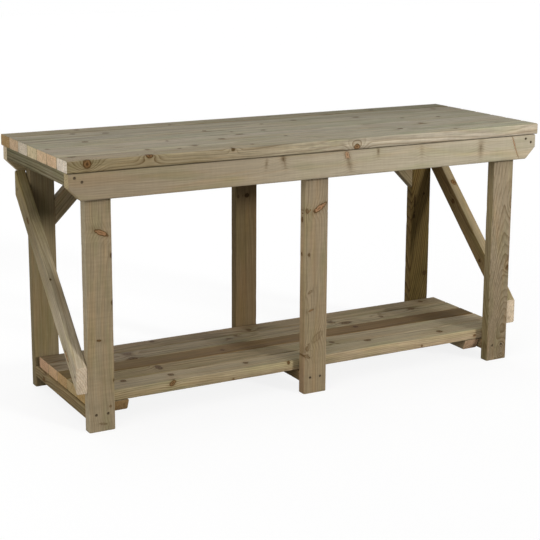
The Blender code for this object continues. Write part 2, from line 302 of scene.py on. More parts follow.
# Surfaces of the timbers
def board_profile(width, thickness, crease=None):
    """Rounded rectangle and its outward directions, anticlockwise: flat sides in short steps, an arc at each
    arris."""
    w, t = width / 2 - ARRIS_RADIUS, thickness / 2 - ARRIS_RADIUS
    wide = np.linspace(-w, w, max(3, round(2 * w / FACE_STEP) + 1))
    if crease is not None:
        wide = np.unique(np.append(wide, crease))
    thin = np.linspace(-t, t, max(3, round(2 * t / FACE_STEP) + 1))
    turn = np.linspace(0, math.pi / 2, ARRIS_STEPS + 1)[1:-1]
    flats = [np.stack([np.full(len(thin), w), thin], 1), np.stack([wide[::-1], np.full(len(wide), t)], 1),
             np.stack([np.full(len(thin), -w), thin[::-1]], 1), np.stack([wide, np.full(len(wide), -t)], 1)]
    corners = [(w, t), (-w, t), (-w, -t), (w, -t)]
    centres, turns = [], []
    for side in range(4):
        quarter = side * math.pi / 2
        centres += [flats[side], np.tile(corners[side], (len(turn), 1))]
        turns += [np.full(len(flats[side]), quarter), turn + quarter]
    turns = np.concatenate(turns)
    outward = np.stack([np.cos(turns), np.sin(turns)], 1)
    return np.concatenate(centres) + ARRIS_RADIUS * outward, outward


def sawn_end(timber, planes, section, last):
    """How far along the timber each point of its section is cut: the nearest of the planes that end it."""
    offset = timber.origin + section[:, :1] * timber.across + section[:, 1:] * timber.through
    cuts = [((point - offset) @ normal) / (timber.along @ normal) for point, normal in planes]
    return np.min(cuts, 0) if last else np.max(cuts, 0)


def arris_nicks(length, reach, outward):
    """Depth of small knocks along the four arrises, at each point: a few rounded dips at random places."""
    count = max(1, round(length / NICK_SPACING))
    spots = random.uniform(-0.5, 0.5, (4, count)) * length
    spans = random.uniform(*NICK_SPANS, (4, count))
    depths = random.uniform(*NICK_SHARES, (4, count)) ** 2 * NICK_DEPTH
    on_arris = (np.abs(outward).min(1) > ARRIS_SHARE) * 1.0
    which = (np.arctan2(outward[:, 1], outward[:, 0]) // (math.pi / 2)).astype(int) % 4
    dips = depths[which] * np.exp(-((reach[:, :, None] - spots[which]) / spans[which]) ** 2)
    return dips.sum(2) * on_arris


def cap_loops(section, crease):
    """Points round each flat of a sawn end, in order: one flat, or two that meet in an apron's crease."""
    loop = np.arange(len(section))
    if crease is None:
        return [loop]
    at_crease = np.isclose(section[:, 0], crease)
    low = loop[(section[:, 0] < crease) | at_crease]
    jumps = np.diff(low) > 1
    start = int(np.argmax(jumps)) + 1 if jumps.any() else 0
    return [loop[(section[:, 0] > crease) | at_crease], np.roll(low, -start)]


def board_surface(name, timber, materials):
    """Section carried along the grain between its sawn ends, with a faint ripple and nicked arrises."""
    crease = APRON_CORNER_CUT - timber.width / 2 if len(timber.starts) > 1 else None
    section, outward = board_profile(timber.width, timber.thickness, crease)
    inner = section * (1 - 2 * END_BREAK / np.array([timber.width, timber.thickness]))
    first = sawn_end(timber, timber.starts, section, False)
    final = sawn_end(timber, timber.ends, section, True)
    length = (final - first).max()
    rows = max(2, round(length / GRAIN_STEP))
    share = np.linspace(0, 1, rows)[:, None]
    reach = (first + END_BREAK) * (1 - share) + (final - END_BREAK) * share
    turn = reach * 2 * math.pi / RIPPLE_LENGTH + np.arange(len(section)) * RIPPLE_TURN
    ripple = RIPPLE_DEPTH * (1 + np.sin(turn))
    inset = (ripple + arris_nicks(length, reach, outward))[:, :, None] * outward
    rings = [np.concatenate([sawn_end(timber, timber.starts, inner, False)[:, None], inner], 1)[None],
             np.concatenate([reach[:, :, None], section - inset], 2),
             np.concatenate([sawn_end(timber, timber.ends, inner, True)[:, None], inner], 1)[None]]
    local = np.concatenate(rings).reshape(-1, 3)
    points = timber.origin + local @ np.stack([timber.along, timber.across, timber.through])
    columns = len(section)
    faces = tube_faces(rows + 2, columns)
    caps = cap_loops(section, crease)
    faces += [cap[::-1].tolist() for cap in caps]
    faces += [(cap + (rows + 1) * columns).tolist() for cap in caps]
    piece = add_piece(name, points, faces, materials)
    ends = np.zeros(len(faces), np.int32)
    ends[-2 * len(caps):] = 1
    piece.data.polygons.foreach_set("material_index", ends)
    return piece


# Screws
def screw_place(node):
    """Head and direction of a screw: it runs along its box's longest side, inwards, but outwards in a knee
    brace."""
    low, high = np.array(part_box(node))
    middle = (low + high) / 2
    axis = int(np.argmax(high - low))
    direction = AXES[axis] * (1 if "knee" in node else -1) * np.sign(middle[axis])
    head = middle - direction * (high - low)[axis] / 2
    return head, direction


def turned_points(profile, steps, head, direction, lobes=None):
    """Profile of (radius, depth) turned about a line from head, with the recess radii drawn in between four
    lobes."""
    side = np.cross(direction, AXES[2] if abs(direction[2]) < 0.5 else AXES[0])
    other = np.cross(direction, side)
    turn = np.arange(steps) * 2 * math.pi / steps
    radius = np.repeat(profile[:, :1], steps, 1)
    if lobes is not None:
        radius[lobes] *= RECESS_WAIST + (1 - RECESS_WAIST) * np.abs(np.cos(2 * turn)) ** RECESS_SHARPNESS
    ring = np.cos(turn)[:, None] * side + np.sin(turn)[:, None] * other
    return head + radius[:, :, None] * ring + profile[:, 1, None, None] * direction


def turned_solid(rings):
    """Points and faces of a closed turned solid: the rings, with a fan at each end."""
    rows, columns, _ = rings.shape
    points = np.concatenate([rings.reshape(-1, 3), rings[:1].mean(1), rings[-1:].mean(1)])
    ring = np.arange(columns)
    after = np.roll(ring, -1)
    faces = tube_faces(rows, columns)
    faces += np.stack([np.full(columns, rows * columns), after, ring], 1).tolist()
    last = (rows - 1) * columns
    faces += np.stack([np.full(columns, rows * columns + 1), last + ring, last + after], 1).tolist()
    return points, faces


def screw_solid(head, direction):
    """A countersunk screw: cross recess, flat rim, cone, shank and point."""
    profile = np.array([(RECESS_FLOOR, RECESS_DEPTH), (RECESS_RADIUS, RECESS_LIP), (HEAD_FACE, 0.0),
                        (HEAD_RADIUS, HEAD_RIM), (SHANK_RADIUS, HEAD_HEIGHT),
                        (SHANK_RADIUS, SCREW_LENGTH - SCREW_TIP), (TIP_RADIUS, SCREW_LENGTH)])
    return turned_solid(turned_points(profile, SCREW_TURN_STEPS, head, direction, lobes=slice(0, 2)))


def hole_solid(head, direction):
    """The hole that a screw leaves in the timber under its head: the pocket, the seat and the shank's way."""
    head_radius, shank = HEAD_RADIUS + HOLE_CLEARANCE, SHANK_RADIUS + HOLE_CLEARANCE
    profile = np.array([(head_radius, -HOLE_OVERRUN - SCREW_SINK), (head_radius, 0.0), (shank, HEAD_HEIGHT),
                        (shank, SCREW_LENGTH + HOLE_OVERRUN)])
    return turned_solid(turned_points(profile, HOLE_TURN_STEPS, head, direction))


def joined(solids):
    """Several solids as one list of points and one of faces."""
    points, faces, count = [], [], 0
    for own_points, own_faces in solids:
        points.append(own_points)
        faces += [[v + count for v in face] for face in own_faces]
        count += len(own_points)
    return np.concatenate(points), faces


def cut_holes(piece, screws):
    """Take the screw holes out of a timber with one Boolean, and keep the result as its mesh."""
    points, faces = joined([hole_solid(*screw) for screw in screws])
    cutter = add_piece("cutter", points, faces, [])
    modifier = piece.modifiers.new("holes", "BOOLEAN")
    modifier.object = cutter
    modifier.solver = "EXACT"
    depsgraph = bpy.context.evaluated_depsgraph_get()
    cut = bpy.data.meshes.new_from_object(piece.evaluated_get(depsgraph))
    piece.modifiers.clear()
    piece.data = cut
    bpy.data.objects.remove(cutter)


# Growth of each timber, kept on its mesh for the materials
def knot_field(place, timber, knots):
    """Place of each point in its nearest knot, in knot radii along and across, and that knot's warmth, swirl
    in mm, strength and softness. A third number keeps a point out of the knot where that lies far off, deep
    under an edge or where the next knot is as near."""
    half_width = timber.width * MM / 2
    nearest = np.full(len(place), np.inf)
    second = np.full(len(place), np.inf)
    field = np.zeros((len(place), 3))
    field[:, 2] = KNOT_FAR
    look = np.zeros((len(place), 4))
    for knot in knots:
        if knot.side == FACE:
            side, depth = place[:, 1] - knot.offset, 0.0
        else:
            edge = half_width if knot.side == HIGH else -half_width
            side, depth = place[:, 2] - knot.offset, np.abs(place[:, 1] - edge)
        x = (place[:, 0] - knot.place - knot.slant * side) / knot.long
        y = side / knot.wide
        deep = np.maximum(0, depth - KNOT_EDGE_DEPTH) / KNOT_EDGE_DEPTH
        far = np.sqrt(x ** 2 + y ** 2 + deep ** 2)
        out = np.clip(far - KNOT_REACH, 0, 1) * KNOT_FAR
        closer = far < nearest
        second = np.where(closer, nearest, np.minimum(second, far))
        nearest[closer] = far[closer]
        field[closer] = np.stack([x, y, np.maximum(deep, out) + 0 * x], 1)[closer]
        look[closer] = knot.warm, math.sqrt(knot.long * knot.wide) * knot.swirl, knot.strength, knot.soft
    if len(knots) > 1:
        between = np.interp(second - nearest, KNOT_PARTING, (1, 0)) * np.clip(nearest - KNOT_WHOLE, 0, 1)
        field[:, 2] = np.maximum(field[:, 2], between * np.minimum(nearest, KNOT_REACH))
    return field, look


def add_growth(piece, timber, growth, number):
    """Write the grain, knots, colours and figure of a timber to its mesh."""
    mesh = piece.data
    count = len(mesh.vertices)
    points = np.empty(count * 3, np.float32)
    mesh.vertices.foreach_get("co", points)
    axes = np.stack([timber.along, timber.across, timber.through], 1)
    place = (points.reshape(-1, 3) - timber.origin) @ axes * MM
    *heights, span = growth.wave
    wave = np.sin(place[:, :1] * 2 * math.pi / span + number)
    pith = np.array(growth.pith) + place[:, :1] / MM * np.array(growth.lean) + wave * np.array(heights)
    grain = np.concatenate([place[:, :1] + number * GRAIN_SHIFT, place[:, 1:] - pith], 1)
    field, look = knot_field(place, timber, growth.knots)
    figure = np.tile((growth.figure, growth.rings, growth.chatter), (count, 1))
    for key, values in (("grain", grain), ("knot", field), ("figure", figure)):
        store = mesh.attributes.new(key, "FLOAT_VECTOR", "POINT").data
        store.foreach_set("vector", values.astype(np.float32).ravel())
    store = mesh.attributes.new("knot_look", "FLOAT_COLOR", "POINT").data
    store.foreach_set("color", look.astype(np.float32).ravel())
    add_tone(mesh, timber, growth, place)


def end_to_end(colours, share):
    """Colour along a timber: hex values with a space between them, evenly spaced from end to end, eased."""
    stops = np.array([linear(colour) for colour in colours.split()])
    place = share * (len(stops) - 1)
    before = np.clip(np.floor(place), 0, max(0, len(stops) - 2)).astype(int)
    part = place - before
    ease = (part * part * (3 - 2 * part))[:, None]
    return stops[before] * (1 - ease) + stops[np.minimum(before + 1, len(stops) - 1)] * ease


def add_tone(mesh, timber, growth, place):
    """Colour of each face corner: sawn ends, upper faces and other faces, a little paler on the arrises,
    partly wear and partly a painted highlight. Its alpha holds the strength of the broad streaks."""
    half = np.array([timber.width, timber.thickness]) * MM / 2
    gap = np.hypot(*(half - np.abs(place[:, 1:])).T)
    # Paler arrises: partly wear, partly a painted highlight
    wear_and_highlight = 1 + ARRIS_WEAR_AND_HIGHLIGHT * np.clip(1 - gap / ARRIS_BAND, 0, 1)
    length = np.ptp(place[:, 0])
    share = (place[:, 0] - place[:, 0].min()) / length
    tone = end_to_end(growth.tone, share)
    up = place[:, 2] > half[1] - FACE_BAND
    tone[up] = end_to_end(growth.upper or growth.tone, share)[up]
    aside = np.abs(place[:, 1]) > half[0] - FACE_BAND
    tone[aside] = end_to_end(growth.edge or growth.tone, share)[aside]
    tone *= wear_and_highlight[:, None]
    corner_points = np.empty(len(mesh.loops), np.int32)
    mesh.loops.foreach_get("vertex_index", corner_points)
    sides = np.empty(len(mesh.polygons), np.int32)
    totals = np.empty(len(mesh.polygons), np.int32)
    mesh.polygons.foreach_get("material_index", sides)
    mesh.polygons.foreach_get("loop_total", totals)
    colours = np.full((len(corner_points), 4), growth.streak, np.float32)
    colours[:, :3] = tone[corner_points]
    colours[np.repeat(sides, totals) == 1, :3] = linear(growth.end)
    mesh.attributes.new("tone", "FLOAT_COLOR", "CORNER").data.foreach_set("color", colours.ravel())


# Materials
# A Mix node of colours has its factor at socket 0, its two colours at 6 and 7 and the mix at output 2
COLOURS = {"out": 2, "data_type": "RGBA"}


def node(tree, kind, sockets=(), out=0, **settings):
    """Add one shader node with its settings, its input values and its links, and give back one output."""
    made = tree.nodes.new("ShaderNode" + kind)
    for key, value in settings.items():
        setattr(made, key, value)
    for key, value in dict(sockets).items():
        if isinstance(value, bpy.types.NodeSocket):
            tree.links.new(value, made.inputs[key])
        else:
            made.inputs[key].default_value = value
    return made.outputs[out] if made.outputs else None


def new_material(name):
    """An empty node material and its tree."""
    material = bpy.data.materials.new(name)
    material.use_nodes = True
    material.node_tree.nodes.clear()
    return material, material.node_tree


def grain_pattern(tree, grain, along, across, through=None, **sockets):
    """Noise drawn out on a timber's grain, from its size in mm along, across and through the fibres."""
    scale = (1 / along, 1 / across, 1 / (through or across))
    spread = node(tree, "VectorMath", {0: grain, 1: scale}, operation="MULTIPLY")
    return node(tree, "TexNoise", {"Vector": spread, "Scale": 1.0, **sockets})


def shaded(tree, wood, pattern, strength):
    """Wood made darker and paler by a pattern round 0, times its strength."""
    shade = node(tree, "Math", {0: pattern, 1: strength, 2: 1.0}, operation="MULTIPLY_ADD")
    return node(tree, "VectorMath", {0: wood, "Scale": shade}, operation="SCALE")


def laid_over(tree, cover, under, colour, share):
    """A colour, times its share, laid over another one where the cover is 1."""
    upper = node(tree, "VectorMath", {0: colour, 1: share}, operation="MULTIPLY")
    return node(tree, "Mix", {0: cover, 6: under, 7: upper}, **COLOURS)


def growth_rings(tree):
    """Latewood of the growth rings: the distance to the pith in ring widths, wavering, lifted round each knot
    and stronger there."""
    grain, knot, look, figure = (node(tree, "Attribute", out="Vector", attribute_name=key)
                                 for key in ("grain", "knot", "knot_look", "figure"))
    swirl = node(tree, "SeparateXYZ", {0: look}, "Y")
    ring_width = node(tree, "SeparateXYZ", {0: figure}, "Y")
    knot_out = node(tree, "VectorMath", {0: knot}, "Value", operation="LENGTH")
    flat = node(tree, "VectorMath", {0: grain, 1: (0, 1, 1)}, operation="MULTIPLY")
    radius = node(tree, "VectorMath", {0: flat}, "Value", operation="LENGTH")
    for along, across, height in RING_WAVERS:
        waver = grain_pattern(tree, grain, along, across, Detail=1.0)
        radius = node(tree, "Math", {0: waver, 1: height, 2: radius}, operation="MULTIPLY_ADD")
    lift = node(tree, "MapRange", {"Value": knot_out, "From Min": KNOT_START, "From Max": KNOT_REACH,
                                   "To Min": 1.0, "To Max": 0.0})
    lift = node(tree, "Math", {0: lift, 1: 2.0}, operation="POWER")
    radius = node(tree, "Math", {0: lift, 1: swirl, 2: radius}, operation="MULTIPLY_ADD")
    rings = node(tree, "Math", {0: radius, 1: ring_width}, operation="DIVIDE")

    # Each ring darkens slowly, ends sharply and is as strong as its year
    number = node(tree, "Math", {0: rings}, operation="FLOOR")
    year = node(tree, "TexWhiteNoise", {"W": number}, noise_dimensions="1D")
    share = node(tree, "Math", {0: rings}, operation="FRACT")
    late = node(tree, "Math", {0: share, 1: LATEWOOD_POWER}, operation="POWER")
    edge = node(tree, "MapRange", {"Value": share, "From Min": LATEWOOD_END, "From Max": 1.0,
                                   "To Min": LATEWOOD_PEAK, "To Max": 0.0})
    late = node(tree, "Math", {0: late, 1: edge}, operation="MULTIPLY")
    strength = node(tree, "MapRange", {"Value": year, "To Min": YEARS[0], "To Max": YEARS[1]})
    near_knot = node(tree, "Math", {0: lift, 1: NEAR_KNOT_RINGS, 2: 1.0}, operation="MULTIPLY_ADD")
    late = node(tree, "Math", {0: late, 1: strength}, operation="MULTIPLY")
    return grain, knot, figure, node(tree, "Math", {0: late, 1: near_knot}, operation="MULTIPLY")


def planed_softwood():
    """Planed pressure-treated spruce: pale earlywood and darker latewood lines, long fibres, a khaki tint
    from the treatment that lies in blotches, red-brown knots with a dark rim, and a dull waxy surface."""
    material, tree = new_material("planed_treated_softwood")
    grain, knot, figure, late = growth_rings(tree)
    tone = node(tree, "Attribute", out="Color", attribute_name="tone")
    contrast = node(tree, "SeparateXYZ", {0: figure}, "X")
    pale = node(tree, "VectorMath", {0: tone, 1: EARLYWOOD}, operation="MULTIPLY")
    ring_mix = node(tree, "Math", {0: late, 1: contrast}, operation="MULTIPLY", use_clamp=True)
    wood = laid_over(tree, ring_mix, pale, tone, LATEWOOD)

    # Fibres in three widths, the finest drawn at 1.6 mm because real fibres are too fine to show
    plain = node(tree, "MapRange", {"Value": contrast, "From Min": 0.3, "From Max": 0.8, "To Min": 0.5})
    height = ring_mix
    for along, across, darkest, palest in FIBRES:
        fibre = grain_pattern(tree, grain, along, across, Detail=3.0, Roughness=0.65)
        shade = node(tree, "MapRange", {"Value": fibre, "From Min": 0.34, "From Max": 0.66, "To Min": darkest,
                                        "To Max": palest})
        wood = shaded(tree, wood, shade, plain)
        height = node(tree, "Math", {0: fibre, 1: 0.6, 2: height}, operation="MULTIPLY_ADD")

    # Broad streaks of faster and slower growth, a finger wide and as long as an arm
    streak = node(tree, "Attribute", out="Alpha", attribute_name="tone")
    bands = grain_pattern(tree, grain, *STREAKS, Detail=2.0, Roughness=0.6)
    bands = node(tree, "MapRange", {"Value": bands, "From Min": 0.33, "From Max": 0.67, "To Min": -1.0})
    wood = shaded(tree, wood, bands, streak)

    # Planer chatter: faint bars across the grain, 9 mm apart, in patches
    chatter = node(tree, "SeparateXYZ", {0: figure}, "Z")
    bars = grain_pattern(tree, grain, *CHATTER, Detail=1.0)
    bars = node(tree, "MapRange", {"Value": bars, "From Min": 0.35, "From Max": 0.65, "To Min": -1.0})
    wood = shaded(tree, wood, bars, chatter)

    # Treatment: faint greenish and browner blotches about as long as a forearm
    for along, across, tint in BLOTCHES:
        blotch = grain_pattern(tree, grain, along, across, Detail=3.0, Distortion=0.4)
        cover = node(tree, "MapRange", {"Value": blotch, "From Min": 0.46, "From Max": 0.68},
                     interpolation_type="SMOOTHSTEP")
        wood = laid_over(tree, cover, wood, wood, tint)

    wood = with_knots(tree, grain, knot, tone, wood)
    rough = node(tree, "MapRange", {"Value": ring_mix, "To Min": 0.80, "To Max": 0.68})
    bump = node(tree, "Bump", {"Height": height, "Strength": 0.35, "Distance": 0.0004})
    surface = node(tree, "BsdfPrincipled", {"Base Color": wood, "Roughness": rough, "Normal": bump,
                                            "Specular IOR Level": 0.08})
    node(tree, "OutputMaterial", {"Surface": surface})
    return material


def knot_core(tree, knot, tone, warmth, out, ragged):
    """Colour of a knot's core: dark brown, red-brown or orange by its warmth, with rings of its own and,
    unless it is orange, a dark heart that is drawn out across it."""
    red = node(tree, "MapRange", {"Value": warmth, "From Max": 0.5})
    orange = node(tree, "MapRange", {"Value": warmth, "From Min": 0.5})
    share = node(tree, "Mix", {0: red, 6: KNOT_BROWN, 7: KNOT_RED}, **COLOURS)
    share = node(tree, "Mix", {0: orange, 6: share, 7: KNOT_ORANGE}, **COLOURS)
    core = node(tree, "VectorMath", {0: tone, 1: share}, operation="MULTIPLY")
    ripple = node(tree, "Math", {0: out, 1: CORE_RINGS[0], 2: CORE_RINGS[1]}, operation="MULTIPLY_ADD")
    ripple = node(tree, "Math", {0: ripple}, operation="SINE")
    ripple = node(tree, "MapRange", {"Value": ripple, "From Min": -1.0, "To Min": 0.62, "To Max": 1.22})
    core = node(tree, "VectorMath", {0: core, "Scale": ripple}, operation="SCALE")
    heart = node(tree, "VectorMath", {0: knot, 1: HEART_FIT}, operation="MULTIPLY")
    heart = node(tree, "VectorMath", {0: heart}, "Value", operation="LENGTH")
    heart = node(tree, "Math", {0: ragged, 1: 1.5, 2: heart}, operation="MULTIPLY_ADD")
    heart = node(tree, "MapRange", {"Value": heart, "From Min": 0.15, "From Max": 0.65,
                                    "To Min": 0.85, "To Max": 0.0})
    not_orange = node(tree, "Math", {0: 1.0, 1: orange}, operation="SUBTRACT")
    heart = node(tree, "Math", {0: heart, 1: not_orange}, operation="MULTIPLY")
    return laid_over(tree, heart, core, tone, KNOT_HEART)


def with_knots(tree, grain, knot, tone, wood):
    """Knots over the wood, in shares of the timber's own colour: a shaded halo, a ragged core and a broken
    dark rim. A soft knot has no rim, and its core fades out."""
    look = node(tree, "Attribute", out="Vector", attribute_name="knot_look")
    warmth = node(tree, "SeparateXYZ", {0: look}, "X")
    strength = node(tree, "SeparateXYZ", {0: look}, "Z")
    soft = node(tree, "Attribute", out="Alpha", attribute_name="knot_look")
    ragged = grain_pattern(tree, grain, *KNOT_TEARS, Detail=2.0)
    ragged = node(tree, "MapRange", {"Value": ragged, "From Min": 0.3, "From Max": 0.7,
                                     "To Min": -KNOT_RAGGED, "To Max": KNOT_RAGGED})
    out = node(tree, "VectorMath", {0: knot}, "Value", operation="LENGTH")
    out = node(tree, "Math", {0: out, 1: ragged}, operation="ADD")

    halo = node(tree, "MapRange", {"Value": out, "From Min": KNOT_HALO[0], "From Max": KNOT_HALO[1],
                                   "To Min": 0.34, "To Max": 0.0}, interpolation_type="SMOOTHSTEP")
    halo = node(tree, "Math", {0: halo, 1: strength}, operation="MULTIPLY")
    wood = laid_over(tree, halo, wood, wood, KNOT_SHADE)

    core = knot_core(tree, knot, tone, warmth, out, ragged)
    full = node(tree, "Math", {0: soft, 1: -KNOT_RIM, 2: KNOT_RIM}, operation="MULTIPLY_ADD")
    gone = node(tree, "Math", {0: soft, 1: KNOT_FADE, 2: KNOT_EDGE}, operation="MULTIPLY_ADD")
    inside = node(tree, "MapRange", {"Value": out, "From Min": full, "From Max": gone,
                                     "To Min": 0.96, "To Max": 0.0}, interpolation_type="SMOOTHSTEP")
    inside = node(tree, "Math", {0: inside, 1: strength}, operation="MULTIPLY")
    wood = node(tree, "Mix", {0: inside, 6: wood, 7: core}, **COLOURS)

    rim = node(tree, "Math", {0: out, 1: KNOT_RIM}, operation="SUBTRACT")
    rim = node(tree, "Math", {0: rim}, operation="ABSOLUTE")
    rim = node(tree, "MapRange", {"Value": rim, "From Min": 0.11, "From Max": 0.26,
                                  "To Min": 0.95, "To Max": 0.0})
    broken = node(tree, "MapRange", {"Value": ragged, "From Min": -KNOT_RAGGED, "From Max": KNOT_RAGGED,
                                     "To Min": 0.4})
    drawn = node(tree, "Math", {0: strength}, operation="SQRT")
    crisp = node(tree, "Math", {0: 1.0, 1: soft}, operation="SUBTRACT")
    for part in (broken, drawn, crisp):
        rim = node(tree, "Math", {0: rim, 1: part}, operation="MULTIPLY")
    return laid_over(tree, rim, wood, tone, KNOT_BARK)


def sawn_end_grain():
    """Cross-cut end of the same timber, matt and torn by the saw: faint arcs of the rings, blotches where the
    treatment soaked in, open pores, saw lines and drying checks that run out from the pith."""
    material, tree = new_material("sawn_end_grain")
    grain, _, _, late = growth_rings(tree)
    tone = node(tree, "Attribute", out="Color", attribute_name="tone")
    pale = node(tree, "VectorMath", {0: tone, 1: END_EARLYWOOD}, operation="MULTIPLY")
    wood = laid_over(tree, late, pale, tone, END_LATEWOOD)

    # Blotches 14 mm wide and torn pores drawn at 3 mm, because real pores are too fine to show
    height = late
    for across, darkest, palest in END_PORES:
        pores = grain_pattern(tree, grain, math.inf, across, Detail=2.0, Roughness=0.6)
        shade = node(tree, "MapRange", {"Value": pores, "From Min": 0.32, "From Max": 0.68, "To Min": darkest,
                                        "To Max": palest})
        wood = node(tree, "VectorMath", {0: wood, "Scale": shade}, operation="SCALE")
        height = node(tree, "Math", {0: height, 1: pores}, operation="ADD")
    saw = grain_pattern(tree, grain, math.inf, *SAW_LINES, Detail=1.0)
    height = node(tree, "Math", {0: height, 1: saw}, operation="ADD")

    # Drying checks: a noise that changes fast round the pith and slowly away from it, dark where it is 0.5
    across = node(tree, "SeparateXYZ", {0: grain}, "Y")
    through = node(tree, "SeparateXYZ", {0: grain}, "Z")
    angle = node(tree, "Math", {0: through, 1: across}, operation="ARCTAN2")
    radius = node(tree, "VectorMath", {0: grain, 1: (0, 1, 1)}, operation="MULTIPLY")
    radius = node(tree, "VectorMath", {0: radius}, "Value", operation="LENGTH")
    polar = node(tree, "CombineXYZ", {"X": angle, "Y": radius})
    scale = (CHECKS_IN_RADIAN, 1 / CHECK_LENGTH, 0)
    polar = node(tree, "VectorMath", {0: polar, 1: scale}, operation="MULTIPLY")
    checks = node(tree, "TexNoise", {"Vector": polar, "Scale": 1.0, "Detail": 2.0})
    checks = node(tree, "Math", {0: checks, 1: 0.5}, operation="SUBTRACT")
    checks = node(tree, "Math", {0: checks}, operation="ABSOLUTE")
    checks = node(tree, "MapRange", {"Value": checks, "From Min": 0.004, "From Max": 0.014,
                                     "To Min": 0.45, "To Max": 0.0})
    wood = laid_over(tree, checks, wood, tone, END_CHECK)
    height = node(tree, "Math", {0: height, 1: checks}, operation="SUBTRACT")

    bump = node(tree, "Bump", {"Height": height, "Strength": 0.6, "Distance": 0.0006})
    surface = node(tree, "BsdfPrincipled", {"Base Color": wood, "Roughness": 0.85, "Normal": bump,
                                            "Specular IOR Level": 0.05})
    node(tree, "OutputMaterial", {"Surface": surface})
    return material


def coated_screw_steel():
    """Screw steel with a brown corrosion coating: satin, worn brighter in spots about a millimetre wide."""
    material, tree = new_material("coated_screw_steel")
    place = node(tree, "TexCoord", out="Object")
    wear = node(tree, "TexNoise", {"Vector": place, "Scale": WEAR_SPOTS * MM, "Detail": 3.0})
    worn = node(tree, "MapRange", {"Value": wear, "From Min": 0.52, "From Max": 0.72})
    colour = node(tree, "Mix", {0: worn, 6: (*linear("453723"), 1), 7: (*linear("75644a"), 1)}, **COLOURS)
    rough = node(tree, "MapRange", {"Value": wear, "To Min": 0.38, "To Max": 0.62})
    surface = node(tree, "BsdfPrincipled", {"Base Color": colour, "Metallic": 0.5, "Roughness": rough})
    node(tree, "OutputMaterial", {"Surface": surface})
    return material


# Timbers
def grown(tone, end, pith, lean=(4, 6), wave=(5, 3, 900), figure=0.8, rings=6.0, streak=0.05, chatter=0.02,
          knots=(), upper=None, edge=None):
    """A timber's growth, with the usual lean, wave and rings of a straight log."""
    return Growth(tone, upper, edge, end, pith, lean, wave, figure, rings, streak, chatter, list(knots))


